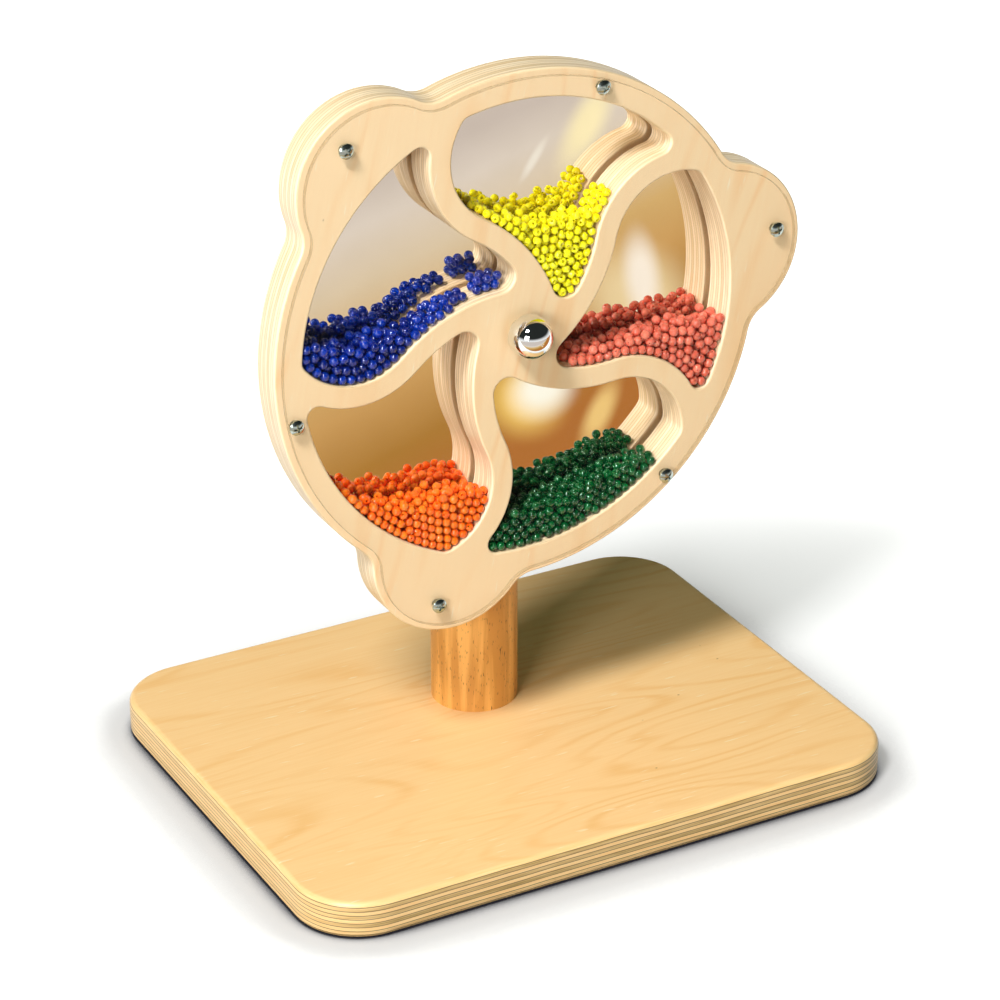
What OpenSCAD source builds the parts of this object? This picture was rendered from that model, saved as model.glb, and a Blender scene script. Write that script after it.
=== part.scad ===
// Bead wheel toy: a lobed plywood wheel with five bead chambers turns on an axle
// at the front of a round post that stands on a plywood base board.
// Millimetres, +Z up, the wheel faces -Y, origin at the middle of the base's underside.

/* [Base board] */
// Width of the base board
base_w = 304; // [280:1:340]
// Depth of the base board
base_d = 242; // [220:1:280]
// Thickness of the base board
base_t = 18; // [16:0.5:24]
// Corner radius of the base board
base_corner_r = 32; // [15:1:45]
// Round-over on the base board's edges
base_edge_r = 3; // [1:0.25:5]

/* [Post] */
// Diameter of the round post
post_d = 42; // [36:1:50]
// Post axis behind the middle of the base board
post_back = 26; // [10:1:50]
// Height of the wheel's axis above the floor
axle_z = 227; // [200:1:260]
// Post above the wheel's axis
post_over = 26; // [18:1:40]
// Chamfer round the post's top end
post_chamfer = 2.5; // [1:0.5:4]

/* [Post fixings] */
// Diameter of the lag bolt's shank
bolt_d = 8; // [6:0.5:10]
// Lag bolt length inside the post
bolt_in_post = 45; // [30:1:70]
// Hexagon head across its flats
bolt_head_af = 13; // [11:0.5:16]
// Height of the hexagon head
bolt_head_h = 5.3; // [4:0.1:7]
// Diameter of the washer under the bolt head
bolt_washer_d = 24; // [20:0.5:28]
// Thickness of the washer under the bolt head
bolt_washer_t = 2; // [1.2:0.2:3]
// Bolt head sunk below the underside
bolt_sunk = 1; // [0.5:0.25:2]
// Diameter of the two locating dowels
dowel_d = 8; // [6:0.5:9]
// Dowel length inside the post
dowel_in_post = 15; // [10:1:25]
// Dowel length inside the base board
dowel_in_base = 9; // [6:0.5:11]
// Distance between the two dowels
dowel_apart = 27; // [25:0.5:28]

/* [Wheel frame] */
// Radius of the wheel's disc
disc_r = 123; // [119:0.5:132]
// Thickness of the wheel frame
frame_t = 18; // [15:0.5:24]
// Radius of each grip lobe
lobe_r = 41; // [34:0.5:46]
// Lobe tips beyond the disc
lobe_out = 25; // [18:0.5:30]
// Radius of the hollow between lobe and disc
notch_r = 14; // [8:0.5:20]
// Turn of the first lobe from +X at rest
rest_turn = 10.4; // [0:0.1:60]

/* [Spokes and windows] */
// Width of the rim between the windows and the disc's edge
rim_w = 13.5; // [12:0.5:18]
// Width of the S-shaped spokes
spoke_w = 10.7; // [8:0.1:13]
// Outer bend of a spoke: its radius, as a share of the windows' radius
bend_curl = 0.2977; // [0.28:0.001:0.315]
// Outer bend of a spoke: its centre from the axis, as a share of the windows' radius
bend_place = 0.7817; // [0.77:0.001:0.795]
// Turn of the outer bend from the window's middle
bend_lead = 15.4; // [13:0.2:18]
// Inner sweep of a spoke: its radius, as a share of the windows' radius
sweep_curl = 0.7361; // [0.7:0.001:0.78]
// Direction from the outer bend's centre to the inner sweep's centre
sweep_lean = 163.8; // [161:0.2:167]
// Corner radius of the windows at the rim
window_corner_r = 5; // [4:0.25:7]
// Tip radius of the windows at the hub
window_tip_r = 7; // [5.5:0.25:9]
// Turn of the windows from the lobes
window_turn = -6; // [-12:0.5:0]

/* [Cover and mirror] */
// Thickness of the clear front cover
cover_t = 2.4; // [1.5:0.1:4]
// Thickness of the mirror sheet
mirror_t = 3; // [2:0.1:4]
// Cover and mirror set in from the frame's rim
sheet_inset = 3.2; // [2:0.1:5]

/* [Hub and axle] */
// Diameter of the axle
axle_d = 8; // [6:0.5:10]
// Outer diameter of the hub bush
bush_d = 13; // [12:0.5:15]
// Bush standing proud of cover and mirror
bush_proud = 0.3; // [0.1:0.1:0.8]
// Diameter of the spacer between wheel and post
spacer_d = 20; // [17:0.5:24]
// Length of the spacer between wheel and post
spacer_l = 9.5; // [6:0.5:16]
// Diameter of the flat washers on the axle
washer_d = 18; // [16:0.5:19.5]
// Thickness of the flat washers on the axle
washer_t = 1.2; // [0.8:0.1:2]
// Diameter of the domed axle caps
cap_d = 20; // [17:0.5:24]
// Straight wall of the domed axle caps
cap_wall_h = 3.5; // [2:0.25:5]
// Axle length inside each cap
axle_in_cap = 8; // [6:0.5:9]
// Seat round the axle on the post, wider than what sits on it
seat_margin = 1; // [0.5:0.25:1.5]
// Least depth of the seats in the post's side
seat_deep = 0.5; // [0.25:0.25:2]

/* [Screws] */
// Diameter of the pan heads
head_d = 7; // [6:0.1:8]
// Height of the pan heads
head_h = 2.3; // [1.8:0.1:2.6]
// Straight side of the pan heads
head_side_h = 0.9; // [0.4:0.1:1.2]
// Shank diameter of the sheet screws
shank_d = 3.5; // [3:0.1:4]
// Length of the sheet screws under the head
shank_l = 10; // [8:0.5:10.5]
// Length of the screws' pointed ends
point_l = 2.5; // [1.5:0.25:3.5]
// Width of the arms of the cross recess
cross_w = 0.9; // [0.6:0.1:1.2]
// Span of the cross recess
cross_l = 4; // [3:0.1:4.6]
// Depth of the cross recess
cross_deep = 1.3; // [0.8:0.1:1.6]
// Lobe screws from the lobe's tip
lobe_screw_in = 13.4; // [10:0.2:18]

/* [Beads] */
// Diameter of the beads
bead_d = 4.8; // [4.4:0.1:5.6]
// Height of the yellow heap, above its lowest bead
yellow_heap = 37.5; // [20:0.1:40]
// Height of the blue heap, above its lowest bead
blue_heap = 19.3; // [10:0.1:28]
// Height of the orange heap, above its lowest bead
orange_heap = 26; // [10:0.1:30]
// Height of the green heap, above its lowest bead
green_heap = 20.5; // [8:0.1:25]
// Height of the coral heap, above its lowest bead
coral_heap = 28; // [12:0.1:32]

/* [Fits] */
// Room round pieces that are fixed in a hole
fixed_fit = 0.05; // [0.02:0.01:0.1]
// Room round the axle in the turning hub
running_fit = 0.06; // [0.03:0.01:0.1]
// Free play at each end of the hub
end_play = 0.3; // [0.2:0.05:0.5]
// Room round screws and bush in the cover and mirror
sheet_room = 0.35; // [0.2:0.05:0.5]
// Room between neighbouring beads and to the walls
bead_gap = 0.15; // [0.1:0.01:0.25]

/* [Hidden] */
$fn = 96;

lobe_count = 3;
window_count = 5;
lobe_step = 360 / lobe_count;
window_step = 360 / window_count;
// Extra length that carries a cut clear of a face
clear = 1;
bead_sides = 24;

post_r = post_d / 2;
post_top = axle_z + post_over;
bolt_pocket = bolt_sunk + bolt_head_h + bolt_washer_t;
bolt_pocket_d = bolt_washer_d + 2 * clear;
bolt_points = 6;
bolt_tip_l = bolt_d / 2;
bolt_tip_d = bolt_d / 4;
screw_tip_d = shank_d / 5;
// Shank of a sheet screw carried up into its head
shank_in_head = 0.5;

// Flat seats on the post's front and back, measured from its axis
front_seat = sqrt(pow(post_r, 2) - pow(spacer_d / 2 + seat_margin, 2)) - seat_deep;
rear_seat = sqrt(pow(post_r, 2) - pow(cap_d / 2 + seat_margin, 2)) - seat_deep;
// Places along the axle, measured forward from the post's axis
bush_back = front_seat + spacer_l + end_play;
mirror_back = bush_back + bush_proud;
frame_back = mirror_back + mirror_t;
frame_front = frame_back + frame_t;
cover_front = frame_front + cover_t;
bush_front = cover_front + bush_proud;
washer_front = bush_front + end_play + washer_t;
axle_front = washer_front + axle_in_cap;
axle_rear = -rear_seat - washer_t - axle_in_cap;
cap_h = cap_wall_h + cap_d / 2;

lobe_at = disc_r + lobe_out - lobe_r;
lobe_screw_r = disc_r + lobe_out - lobe_screw_in;
rim_screw_r = disc_r - rim_w / 2;

function polar(r, a) = [r * cos(a), r * sin(a)];
function turned(p, a) = [p.x * cos(a) - p.y * sin(a), p.x * sin(a) + p.y * cos(a)];

// Point where two circles cross, on the left (1) or right (-1) of the line between them
function crossing(c1, r1, c2, r2, side) =
    let (
        gap = norm(c2 - c1),
        u = (c2 - c1) / gap,
        along = (r1 * r1 - r2 * r2 + gap * gap) / (2 * gap),
        across = sqrt(r1 * r1 - along * along)
    )
    c1 + along * u + side * across * [-u.y, u.x];

// An outline is a ring of circles that touch in turn: [centre, radius], hollow below zero
function touch(a, b) = (a[0] * b[1] - b[0] * a[1]) / (b[1] - a[1]);
function grown(ring, by) = [for (c = ring) [c[0], c[1] + by]];
function starts(ring) =
    let (n = len(ring))
    [for (i = [0 : n - 1]) touch(ring[(i + n - 1) % n], ring[i])];
function angle_to(c, p) = atan2(p.y - c.y, p.x - c.x);
function sweep_deg(from, to) = (to - from) - 360 * floor((to - from) / 360);

// Hollows between lobes and disc
notch_at = disc_r + notch_r;
notch_turn = acos(
    (pow(notch_at, 2) + pow(lobe_at, 2) - pow(lobe_r + notch_r, 2)) / (2 * notch_at * lobe_at)
);
// How far a neck's side reaches into the disc and the lobe at its ends
neck_bite = 0.05;

// One window, with its middle along +Y: both edges of a spoke share their centres
window_r = disc_r - rim_w;
bend_r = window_r * bend_curl;
bend_at = window_r * bend_place;
sweep_r = window_r * sweep_curl;
bend_c = polar(bend_at, 90 + bend_lead);
sweep_c = bend_c + polar(bend_r + sweep_r, 90 + sweep_lean);
far_bend_c = turned(bend_c, -window_step);
far_sweep_c = turned(sweep_c, -window_step);
tip_c = crossing(
    sweep_c, sweep_r + window_tip_r, far_sweep_c, sweep_r - spoke_w - window_tip_r, -1
);
near_corner_c = crossing(
    [0, 0], window_r - window_corner_r, bend_c, bend_r - window_corner_r, 1
);
far_corner_c = crossing(
    [0, 0], window_r - window_corner_r, far_bend_c, bend_r + spoke_w + window_corner_r, 1
);
window_ring = [
    [tip_c, window_tip_r],
    [far_sweep_c, sweep_r - spoke_w],
    [far_bend_c, -bend_r - spoke_w],
    [far_corner_c, window_corner_r],
    [[0, 0], window_r],
    [near_corner_c, window_corner_r],
    [bend_c, bend_r],
    [sweep_c, -sweep_r]
];

// Windows by colour, counted round from the first lobe
coral_place = 0;
yellow_place = 1;
blue_place = 2;
orange_place = 3;
green_place = 4;
// Slope of the heaps that lean while the wheel settles
blue_slope = 0.15;
green_slope = 0.13;
coral_slope = 0.1;
level_slope = 0;

// Points along a ring, close enough together to stay near the true arcs
arc_error = 0.05;
fewest_steps = 3;
function arc_steps(r, deg) = max(fewest_steps, ceil(abs(deg) / (2 * acos(1 - arc_error / r))));
function ring_points(ring) =
    let (n = len(ring), s = starts(ring))
    [
        for (i = [0 : n - 1])
            let (
                c = ring[i],
                from = angle_to(c[0], s[i]),
                to = angle_to(c[0], s[(i + 1) % n]),
                span = c[1] > 0 ? sweep_deg(from, to) : -sweep_deg(to, from),
                r = abs(c[1]),
                steps = arc_steps(r, span)
            )
            for (k = [0 : steps - 1])
                c[0] + polar(r, from + span * k / steps)
    ];
function inside(wall, p) =
    let (n = len(wall))
    len([
        for (i = [0 : n - 1])
            let (a = wall[i], b = wall[(i + 1) % n])
            if ((a.y > p.y) != (b.y > p.y) && p.x < a.x + (b.x - a.x) * (p.y - a.y) / (b.y - a.y))
                i
    ]) % 2 == 1;

// Board edge in section: the outer face at x = 0, rounded above and below
module edge_section(w, h, r) {
    difference() {
        translate([-w, 0])
            square([w, h]);
        translate([-r, h - r])
            difference() {
                square(r + clear);
                circle(r = r);
            }
        translate([-r, r])
            mirror([0, 1])
                difference() {
                    square(r + clear);
                    circle(r = r);
                }
    }
}

// Hollow side of a neck, grown by a margin: points from the disc to the lobe
function neck_side(by) =
    let (
        hollow_r = notch_r - by,
        middle = polar(notch_at, notch_turn),
        from = notch_turn - 180,
        span = angle_to(middle, [lobe_at, 0]) - from,
        steps = arc_steps(hollow_r, span)
    )
    [
        for (i = [0 : steps])
            let (bite = i == 0 || i == steps ? neck_bite : 0)
            middle + polar(hollow_r + bite, from + span * i / steps)
    ];

// Board with the outline of the wheel, grown by a margin: a disc, lobes and the necks that join them
module rim_board(by, h) {
    side = neck_side(by);
    last = len(side) - 1;
    union() {
        cylinder(r = disc_r + by, h = h);
        for (k = [0 : lobe_count - 1])
            rotate(k * lobe_step) {
                translate([lobe_at, 0, 0])
                    cylinder(r = lobe_r + by, h = h);
                linear_extrude(h)
                    polygon([
                        each side,
                        for (i = [0 : last]) [side[last - i].x, -side[last - i].y]
                    ]);
            }
    }
}

// Wheel pieces are drawn lying down, with their back at z = 0, and stood up here
module on_axle(forward) {
    translate([0, post_back - forward, axle_z])
        rotate([90, 0, 0])
            children();
}

module on_wheel(forward) {
    on_axle(forward)
        rotate(rest_turn)
            children();
}

module at_windows() {
    for (k = [0 : window_count - 1])
        rotate(window_turn + k * window_step - 90)
            children();
}

module at_screws() {
    for (k = [0 : lobe_count - 1]) {
        rotate(k * lobe_step)
            translate([lobe_screw_r, 0, 0])
                children();
        rotate((k + 0.5) * lobe_step)
            translate([rim_screw_r, 0, 0])
                children();
    }
}

module screw_holes(d, h) {
    at_screws()
        translate([0, 0, -clear])
            cylinder(d = d, h = h + 2 * clear);
}

module base_board() {
    straight_w = base_w - 2 * base_corner_r;
    straight_d = base_d - 2 * base_corner_r;
    color("burlywood")
        difference() {
            union() {
                for (side = [-1, 1]) {
                    translate([side * straight_w / 2, 0, 0])
                        rotate([90, 0, 0])
                            translate([side * base_corner_r, 0, -straight_d / 2])
                                linear_extrude(straight_d)
                                    mirror([side < 0 ? 1 : 0, 0])
                                        edge_section(base_corner_r, base_t, base_edge_r);
                    translate([0, side * straight_d / 2, 0])
                        rotate([90, 0, 90])
                            translate([side * base_corner_r, 0, -straight_w / 2])
                                linear_extrude(straight_w)
                                    mirror([side < 0 ? 1 : 0, 0])
                                        edge_section(base_corner_r, base_t, base_edge_r);
                }
                for (k = [0 : 3])
                    translate([
                        (k == 0 || k == 3 ? 1 : -1) * straight_w / 2,
                        (k < 2 ? 1 : -1) * straight_d / 2,
                        0
                    ])
                        rotate(k * 90)
                            rotate_extrude(angle = 90)
                                translate([base_corner_r, 0])
                                    edge_section(base_corner_r, base_t, base_edge_r);
                translate([-straight_w / 2, -straight_d / 2, 0])
                    cube([straight_w, straight_d, base_t]);
            }
            translate([0, post_back, -clear]) {
                cylinder(d = bolt_pocket_d, h = bolt_pocket + clear);
                cylinder(r = bolt_d / 2 + fixed_fit, h = base_t + 2 * clear);
            }
            post_dowel_places()
                translate([0, 0, -dowel_in_base])
                    cylinder(r = dowel_d / 2 + fixed_fit, h = dowel_in_base + clear);
        }
}

module post_dowel_places() {
    for (side = [-1, 1])
        translate([side * dowel_apart / 2, post_back, base_t])
            children();
}

module post() {
    length = post_top - base_t;
    color("peru")
        difference() {
            translate([0, post_back, base_t]) {
                cylinder(r = post_r, h = length - post_chamfer);
                translate([0, 0, length - post_chamfer])
                    cylinder(r1 = post_r, r2 = post_r - post_chamfer, h = post_chamfer);
            }
            translate([0, post_back, base_t - clear])
                cylinder(r = bolt_d / 2 + fixed_fit, h = bolt_in_post + clear);
            post_dowel_places()
                translate([0, 0, -clear])
                    cylinder(r = dowel_d / 2 + fixed_fit, h = dowel_in_post + clear);
            on_axle(-post_r - clear)
                cylinder(r = axle_d / 2 + fixed_fit, h = post_d + 2 * clear);
            on_axle(front_seat)
                cylinder(r = spacer_d / 2 + seat_margin, h = post_r);
            on_axle(-rear_seat)
                rotate([180, 0, 0])
                    cylinder(r = cap_d / 2 + seat_margin, h = post_r);
        }
}

module post_bolt() {
    color("silver")
        translate([0, post_back, bolt_sunk]) {
            cylinder(d = bolt_head_af / cos(180 / bolt_points), h = bolt_head_h, $fn = bolt_points);
            translate([0, 0, bolt_head_h])
                cylinder(d = bolt_d, h = base_t - bolt_sunk - bolt_head_h + bolt_in_post - bolt_tip_l);
            translate([0, 0, base_t - bolt_sunk + bolt_in_post - bolt_tip_l])
                cylinder(d1 = bolt_d, d2 = bolt_tip_d, h = bolt_tip_l);
        }
}

module post_washer() {
    color("lightgray")
        translate([0, post_back, bolt_sunk + bolt_head_h])
            difference() {
                cylinder(d = bolt_washer_d, h = bolt_washer_t);
                translate([0, 0, -clear])
                    cylinder(r = bolt_d / 2 + fixed_fit, h = bolt_washer_t + 2 * clear);
            }
}

module post_dowels() {
    color("wheat")
        post_dowel_places()
            translate([0, 0, -dowel_in_base])
                cylinder(d = dowel_d, h = dowel_in_base + dowel_in_post);
}

module axle() {
    color("gainsboro")
        on_axle(axle_rear)
            cylinder(d = axle_d, h = axle_front - axle_rear);
}

module axle_ring(d, h) {
    difference() {
        cylinder(d = d, h = h);
        translate([0, 0, -clear])
            cylinder(r = axle_d / 2 + fixed_fit, h = h + 2 * clear);
    }
}

module spacer() {
    color("ivory")
        on_axle(front_seat)
            axle_ring(spacer_d, spacer_l);
}

module front_washer() {
    color("lightgray")
        on_axle(washer_front - washer_t)
            axle_ring(washer_d, washer_t);
}

module rear_washer() {
    color("lightgray")
        on_axle(-rear_seat - washer_t)
            axle_ring(washer_d, washer_t);
}

// Domed cap: straight wall, half ball and a blind bore for the axle
module axle_cap() {
    difference() {
        rotate_extrude()
            union() {
                square([cap_d / 2, cap_wall_h]);
                translate([0, cap_wall_h])
                    intersection() {
                        circle(d = cap_d);
                        square(cap_d);
                    }
            }
        translate([0, 0, -clear])
            cylinder(r = axle_d / 2 + fixed_fit, h = axle_in_cap + clear);
    }
}

module hub_cap() {
    color("whitesmoke")
        on_axle(washer_front)
            axle_cap();
}

module rear_cap() {
    color("whitesmoke")
        on_axle(-rear_seat - washer_t)
            rotate([180, 0, 0])
                axle_cap();
}

module wheel_frame() {
    color("navajowhite")
        on_wheel(frame_back)
            difference() {
                rim_board(0, frame_t);
                at_windows()
                    translate([0, 0, -clear])
                        linear_extrude(frame_t + 2 * clear)
                            polygon(ring_points(window_ring));
                translate([0, 0, -clear])
                    cylinder(r = bush_d / 2 + fixed_fit, h = frame_t + 2 * clear);
                screw_holes(shank_d + 2 * fixed_fit, frame_t);
            }
}

module wheel_sheet(h) {
    difference() {
        rim_board(-sheet_inset, h);
        translate([0, 0, -clear])
            cylinder(r = bush_d / 2 + sheet_room, h = h + 2 * clear);
        screw_holes(shank_d + 2 * sheet_room, h);
    }
}

module front_cover() {
    color("lightcyan", 0.35)
        on_wheel(frame_front)
            wheel_sheet(cover_t);
}

module mirror_sheet() {
    color("slategray")
        on_wheel(mirror_back)
            wheel_sheet(mirror_t);
}

module hub_bush() {
    color("khaki")
        on_axle(bush_back)
            difference() {
                cylinder(d = bush_d, h = bush_front - bush_back);
                translate([0, 0, -clear])
                    cylinder(r = axle_d / 2 + running_fit, h = bush_front - bush_back + 2 * clear);
            }
}

// Pan-head screw standing on its seat at z = 0, point downwards
module sheet_screw() {
    dome_h = head_h - head_side_h;
    dome_r = (pow(head_d / 2, 2) + pow(dome_h, 2)) / (2 * dome_h);
    difference() {
        union() {
            intersection() {
                cylinder(d = head_d, h = head_h);
                translate([0, 0, head_h - dome_r])
                    sphere(r = dome_r);
            }
            translate([0, 0, point_l - shank_l])
                cylinder(d = shank_d, h = shank_l - point_l + shank_in_head);
            translate([0, 0, -shank_l])
                cylinder(d1 = screw_tip_d, d2 = shank_d, h = point_l);
        }
        for (a = [0, 90])
            rotate(a)
                translate([-cross_l / 2, -cross_w / 2, head_h - cross_deep])
                    cube([cross_l, cross_w, cross_deep + clear]);
    }
}

module cover_screws() {
    color("silver")
        on_wheel(cover_front)
            at_screws()
                sheet_screw();
}

module mirror_screws() {
    color("silver")
        on_wheel(mirror_back)
            at_screws()
                rotate([180, 0, 0])
                    sheet_screw();
}

// Beads of one chamber in staggered layers: those that fit inside its walls, up to the heap's top
module bead_heap(place, height, slope) {
    turn = rest_turn + window_turn + place * window_step;
    wall = [
        for (p = ring_points(grown(window_ring, -bead_d / 2 - bead_gap))) turned(p, turn - 90)
    ];
    middle = polar(window_r / 2, turn);
    pitch = bead_d + bead_gap;
    row_h = pitch * sqrt(3) / 2;
    layer_h = pitch * sqrt(2 / 3);
    layers = floor((frame_t - bead_d - 2 * bead_gap) / layer_h);
    first = (frame_t - layers * layer_h) / 2;
    left = min([for (p = wall) p.x]);
    right = max([for (p = wall) p.x]);
    low = min([for (p = wall) p.y]);
    high = max([for (p = wall) p.y]);
    on_axle(frame_back)
        for (k = [0 : layers])
            for (row = [0 : floor((high - low) / row_h)])
                for (col = [-1 : floor((right - left) / pitch)]) {
                    shift = (row % 2 + k % 2) * pitch / 2;
                    x = left + col * pitch + shift;
                    y = low + row * row_h + k % 2 * row_h / 3;
                    top = low + height + slope * (x - middle.x);
                    if (y <= top && inside(wall, [x, y]))
                        translate([x, y, first + k * layer_h])
                            sphere(d = bead_d, $fn = bead_sides);
                }
}

module beads_yellow() {
    color("yellow")
        bead_heap(yellow_place, yellow_heap, level_slope);
}

module beads_blue() {
    color("mediumblue")
        bead_heap(blue_place, blue_heap, blue_slope);
}

module beads_orange() {
    color("darkorange")
        bead_heap(orange_place, orange_heap, level_slope);
}

module beads_green() {
    color("green")
        bead_heap(green_place, green_heap, green_slope);
}

module beads_coral() {
    color("lightcoral")
        bead_heap(coral_place, coral_heap, coral_slope);
}

base_board();
post();
post_bolt();
post_washer();
post_dowels();
axle();
spacer();
front_washer();
hub_cap();
rear_washer();
rear_cap();
wheel_frame();
front_cover();
mirror_sheet();
hub_bush();
cover_screws();
mirror_screws();
beads_yellow();
beads_blue();
beads_orange();
beads_green();
beads_coral();
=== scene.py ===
# Bead wheel toy: the finish of every piece, the eased plywood wheel, its sheets and its loose beads.
# Metres, +Z up, the wheel faces -Y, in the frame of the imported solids.
import math

import bmesh
import bpy
import numpy as np
from mathutils import Matrix, Vector


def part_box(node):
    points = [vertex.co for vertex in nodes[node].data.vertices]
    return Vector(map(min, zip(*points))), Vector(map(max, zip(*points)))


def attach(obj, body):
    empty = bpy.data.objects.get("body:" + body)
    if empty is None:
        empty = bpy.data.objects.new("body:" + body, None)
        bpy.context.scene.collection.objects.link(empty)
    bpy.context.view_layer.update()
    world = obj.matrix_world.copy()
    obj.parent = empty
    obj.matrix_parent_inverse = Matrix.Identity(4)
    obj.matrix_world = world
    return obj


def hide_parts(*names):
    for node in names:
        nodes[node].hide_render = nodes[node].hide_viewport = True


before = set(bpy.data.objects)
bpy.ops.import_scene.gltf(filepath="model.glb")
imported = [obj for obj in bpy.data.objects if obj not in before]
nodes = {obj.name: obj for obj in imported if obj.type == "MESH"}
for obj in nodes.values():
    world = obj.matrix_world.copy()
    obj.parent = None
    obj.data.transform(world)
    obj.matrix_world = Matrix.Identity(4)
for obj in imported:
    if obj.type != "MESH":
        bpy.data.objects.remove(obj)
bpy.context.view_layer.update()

MM = 0.001
scene = bpy.context.scene

# Places of the wheel, read from the frame
WHEEL_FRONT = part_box("wheel_frame")[0].y
WHEEL_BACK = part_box("wheel_frame")[1].y
WHEEL_T = WHEEL_BACK - WHEEL_FRONT


# Colours and shader nodes

def linear(code):
    """An sRGB hex colour as a linear RGBA colour."""
    parts = [int(code[i:i + 2], 16) / 255 for i in (1, 3, 5)]
    return [c / 12.92 if c <= 0.04045 else ((c + 0.055) / 1.055) ** 2.4 for c in parts] + [1]


def per_mm(*sizes):
    """Pattern scale at which one feature measures the given millimetres along x, y and z."""
    return [1 / (size * MM) for size in sizes]


def add(tree, kind, settings, inputs):
    """Adds a shader node with its settings, and gives each input a value or a link from a node or socket."""
    made = tree.nodes.new("ShaderNode" + kind)
    for name, value in settings.items():
        setattr(made, name, value)
    for key, value in inputs.items():
        named = [s for s in made.inputs if s.enabled and s.name == key]
        socket = named[0] if named else made.inputs[key]
        if isinstance(value, bpy.types.Node):
            value = next(s for s in value.outputs if s.enabled)
        if isinstance(value, bpy.types.NodeSocket):
            tree.links.new(value, socket)
        else:
            socket.default_value = value
    return made


def colour_ramp(tree, value, stops):
    """Colour that follows a value through stops of position and hex colour."""
    ramp = add(tree, "ValToRGB", {}, {"Fac": value})
    marks = ramp.color_ramp.elements
    while len(marks) < len(stops):
        marks.new(0.5)
    for mark, (position, code) in zip(marks, stops.items()):
        mark.position = position
        mark.color = linear(code)
    return ramp.outputs["Color"]


def start_material(name, **finish):
    """An empty material with its Principled shader, whose constant values are given by socket name."""
    made = bpy.data.materials.new(name)
    made.use_nodes = True
    tree = made.node_tree
    shader = tree.nodes["Principled BSDF"]
    for key, value in finish.items():
        shader.inputs[key.replace("_", " ")].default_value = value
    return made, tree, shader


# Materials

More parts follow.
